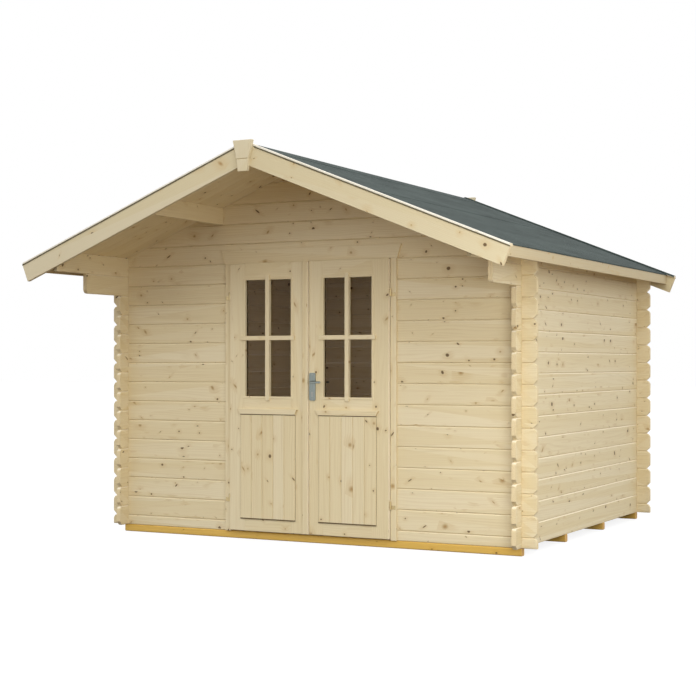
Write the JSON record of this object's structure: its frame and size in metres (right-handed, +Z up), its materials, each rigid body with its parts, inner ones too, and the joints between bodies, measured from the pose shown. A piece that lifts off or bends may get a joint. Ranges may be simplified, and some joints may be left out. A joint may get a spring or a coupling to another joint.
{
  "type": "log cabin",
  "caption": "Garden log cabin with notched log walls, a felted gable roof with a deep front overhang and half-glazed double doors that swing outward, on floor bearers.",
  "frame": {"origin": "on the level the bearers stand on, under the middle of the cabin's box", "axes": "+Z up, the doors face -Y, +X to the right of someone facing the doors"},
  "size_m": [3.486, 3.562, 2.5645],
  "materials": {
    "spruce_log": "planed, untreated",
    "planed_spruce": "planed, untreated",
    "door_spruce": "planed, untreated",
    "treated_bearer": "pressure treated",
    "bitumen_felt": "mineral surfaced",
    "pane": "clear float glass",
    "zinc_steel": "zinc plated",
    "handle_metal": "satin"
  },
  "bodies": {
    "cabin": {"floor_bearers": "treated_bearer", "floor": "planed_spruce", "front_wall_right": "spruce_log", "front_wall_left": "spruce_log", "front_gable": "spruce_log", "back_wall": "spruce_log", "back_gable": "spruce_log", "right_wall": "spruce_log", "left_wall": "spruce_log", "purlin_right": "planed_spruce", "purlin_left": "planed_spruce", "roof_boards_right": "planed_spruce", "roof_boards_left": "planed_spruce", "roof_felt_right": "bitumen_felt", "roof_felt_left": "bitumen_felt", "front_bargeboard_right": "planed_spruce", "front_bargeboard_left": "planed_spruce", "back_bargeboard_right": "planed_spruce", "back_bargeboard_left": "planed_spruce", "ridge_plates": "planed_spruce", "eave_board_right": "planed_spruce", "eave_board_left": "planed_spruce", "verge_laths": "planed_spruce", "door_post_right": "planed_spruce", "door_post_left": "planed_spruce", "door_head": "planed_spruce", "door_threshold": "planed_spruce", "lintel_board": "planed_spruce", "post_hinges": "zinc_steel"},
    "left_door": {"left_door_stiles": "door_spruce", "left_door_rails": "door_spruce", "left_door_glass": "pane", "left_door_panel": "door_spruce", "left_door_weather_bar": "door_spruce", "left_door_cover_strip": "door_spruce", "left_door_hinges": "zinc_steel"},
    "right_door": {"right_door_stiles": "door_spruce", "right_door_rails": "door_spruce", "right_door_glass": "pane", "right_door_panel": "door_spruce", "right_door_weather_bar": "door_spruce", "right_door_hinges": "zinc_steel", "right_door_lock_plates": "handle_metal"},
    "handle": {"door_handle": "handle_metal"}
  },
  "joints": [
    {"name": "left_door_hinge", "type": "hinge", "parent": "cabin", "child": "left_door", "pos_m": [-0.61, -0.957, 0.96], "axis": [0, 0, -1], "range_deg": [0, 110]},
    {"name": "right_door_hinge", "type": "hinge", "parent": "cabin", "child": "right_door", "pos_m": [0.61, -0.957, 0.96], "axis": [0, 0, 1], "range_deg": [0, 110]},
    {"name": "handle_turn", "type": "hinge", "parent": "right_door", "child": "handle", "pos_m": [0.0435, -0.945, 1.068], "axis": [0, 1, 0], "range_deg": [0, 40], "stiffness_Nm_per_rad": 2, "springref_deg": -17.19}
  ]
}
